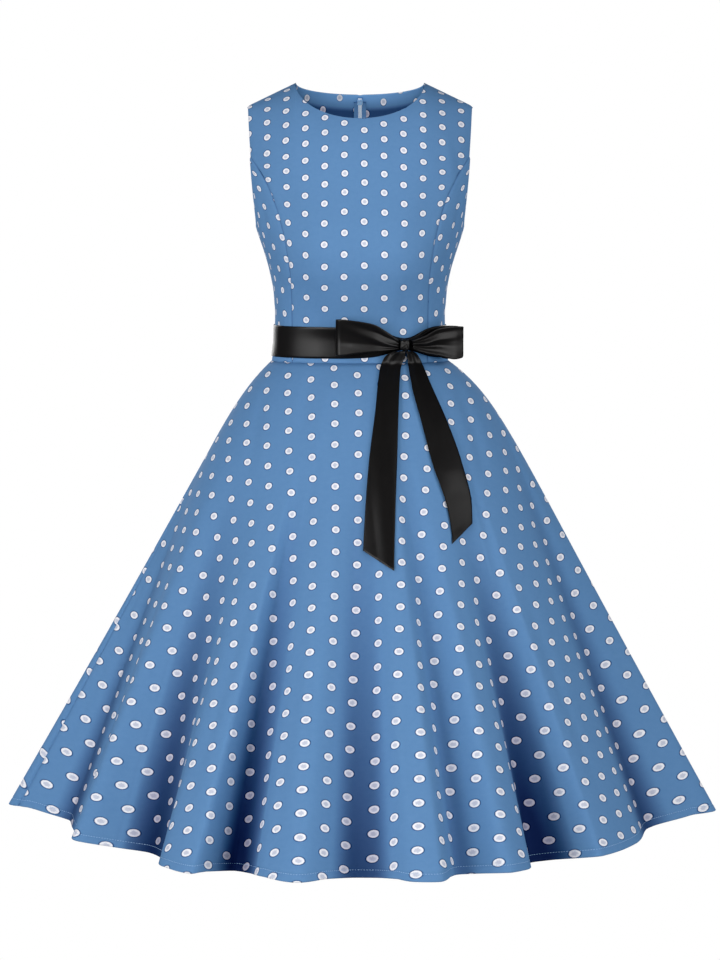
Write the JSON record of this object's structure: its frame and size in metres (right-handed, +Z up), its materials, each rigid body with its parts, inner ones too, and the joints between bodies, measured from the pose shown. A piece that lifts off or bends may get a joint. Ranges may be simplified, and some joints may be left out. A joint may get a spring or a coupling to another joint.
{
  "type": "a-line dress",
  "caption": "Sleeveless round-neck A-line dress in blue cotton with white polka dots, a flared skirt in soft folds, a black ribbon sash tied in a bow and a back zip.",
  "frame": {"origin": "middle of the neck opening, level with the highest points of the shoulder seams, where the wearer's shoulders carry the dress", "axes": "+Z up, the dress faces -Y, +X towards the wearer's left"},
  "size_m": [0.9214, 0.8822, 0.9554],
  "materials": {
    "dotted_cotton": "matte woven cotton printed with white polka dots",
    "satin_ribbon": "black satin with a soft sheen",
    "zip_tape": "matte woven tape",
    "zip_coil": "satin moulded coil",
    "zip_metal": "satin enamel"
  },
  "bodies": {
    "dress": {"bodice_front": "dotted_cotton", "bodice_side_left": "dotted_cotton", "bodice_side_right": "dotted_cotton", "bodice_back_left": "dotted_cotton", "bodice_back_right": "dotted_cotton", "skirt_front": "dotted_cotton", "skirt_back_left": "dotted_cotton", "skirt_back_right": "dotted_cotton", "sash_band": "satin_ribbon", "bow_knot": "satin_ribbon", "bow_loop_left": "satin_ribbon", "bow_loop_right": "satin_ribbon", "bow_tail_left": "satin_ribbon", "bow_tail_right": "satin_ribbon", "zip_tape_left": "zip_tape", "zip_tape_right": "zip_tape", "zip_coil": "zip_coil", "zip_slider": "zip_metal"},
    "pull_tab": {"zip_pull_tab": "zip_metal"}
  },
  "joints": [
    {"name": "pull_tab_hinge", "type": "hinge", "parent": "dress", "child": "pull_tab", "pos_m": [0, 0.06125, -0.01641], "axis": [1, 0, 0], "range_deg": [0, 150]}
  ]
}
